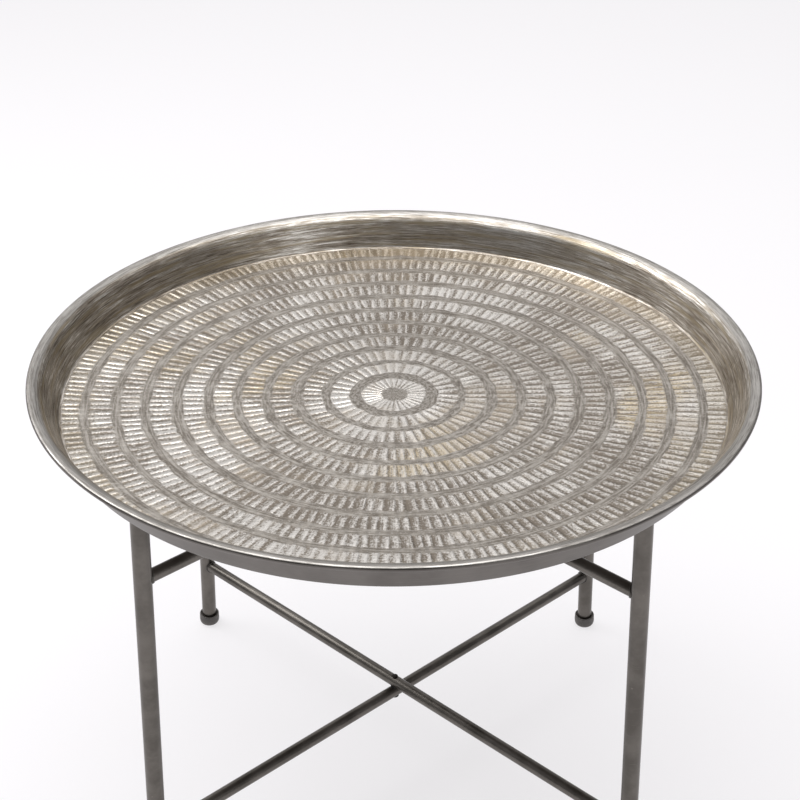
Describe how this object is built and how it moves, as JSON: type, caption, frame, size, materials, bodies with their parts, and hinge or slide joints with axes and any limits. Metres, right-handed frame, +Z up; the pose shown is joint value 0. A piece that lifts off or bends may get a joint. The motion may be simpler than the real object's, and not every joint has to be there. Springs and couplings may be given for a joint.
{
  "type": "tray table",
  "caption": "Round lift-off metal tray with a chiselled ring pattern, on a folding stand of two crossed tube frames that pivot on rivets.",
  "frame": {"origin": "on the floor, on the fold axis midway between the four feet", "axes": "+Z up along the fold axis; +Y to the back, away from the viewer; +X to the viewer's right"},
  "size_m": [0.66, 0.66, 0.471],
  "materials": {
    "tray_metal": "antiqued silver with brassy highlights, brushed",
    "steel_wire": "plain drawn wire, hidden in the rolled rim",
    "stand_metal": "satin warm gunmetal",
    "weld_metal": "satin gunmetal over rough weld",
    "rivet_metal": "blackened steel",
    "foot_rubber": "matt moulded rubber",
    "pad_plastic": "matt black plastic",
    "washer_plastic": "dark nylon"
  },
  "bodies": {
    "outer_frame": {"outer_lower_rail": "stand_metal", "outer_upper_rail": "stand_metal", "outer_frame_welds": "weld_metal", "outer_leg_front_left": "stand_metal", "outer_leg_back_right": "stand_metal", "foot_front_left": "foot_rubber", "foot_back_right": "foot_rubber", "tray_pad_front_left": "pad_plastic", "tray_pad_back_right": "pad_plastic", "lower_pivot_rivet": "rivet_metal", "upper_pivot_rivet": "rivet_metal", "lower_spacer_washer": "washer_plastic", "upper_spacer_washer": "washer_plastic", "lower_tail_washer": "rivet_metal", "upper_tail_washer": "rivet_metal"},
    "inner_frame": {"inner_lower_rail": "stand_metal", "inner_upper_rail": "stand_metal", "inner_frame_welds": "weld_metal", "inner_leg_back_left": "stand_metal", "inner_leg_front_right": "stand_metal", "foot_back_left": "foot_rubber", "foot_front_right": "foot_rubber", "tray_pad_back_left": "pad_plastic", "tray_pad_front_right": "pad_plastic"},
    "tray": {"tray": "tray_metal", "rim_wire": "steel_wire"}
  },
  "joints": [
    {"name": "fold", "type": "hinge", "parent": "outer_frame", "child": "inner_frame", "pos_m": [0, 0, 0.2145], "axis": [0, 0, 1], "range_deg": [-89, 80]},
    {"name": "tray_lift", "type": "slide", "parent": "outer_frame", "child": "tray", "axis": [0, 0, 1], "range_m": [0, 0.15]}
  ]
}
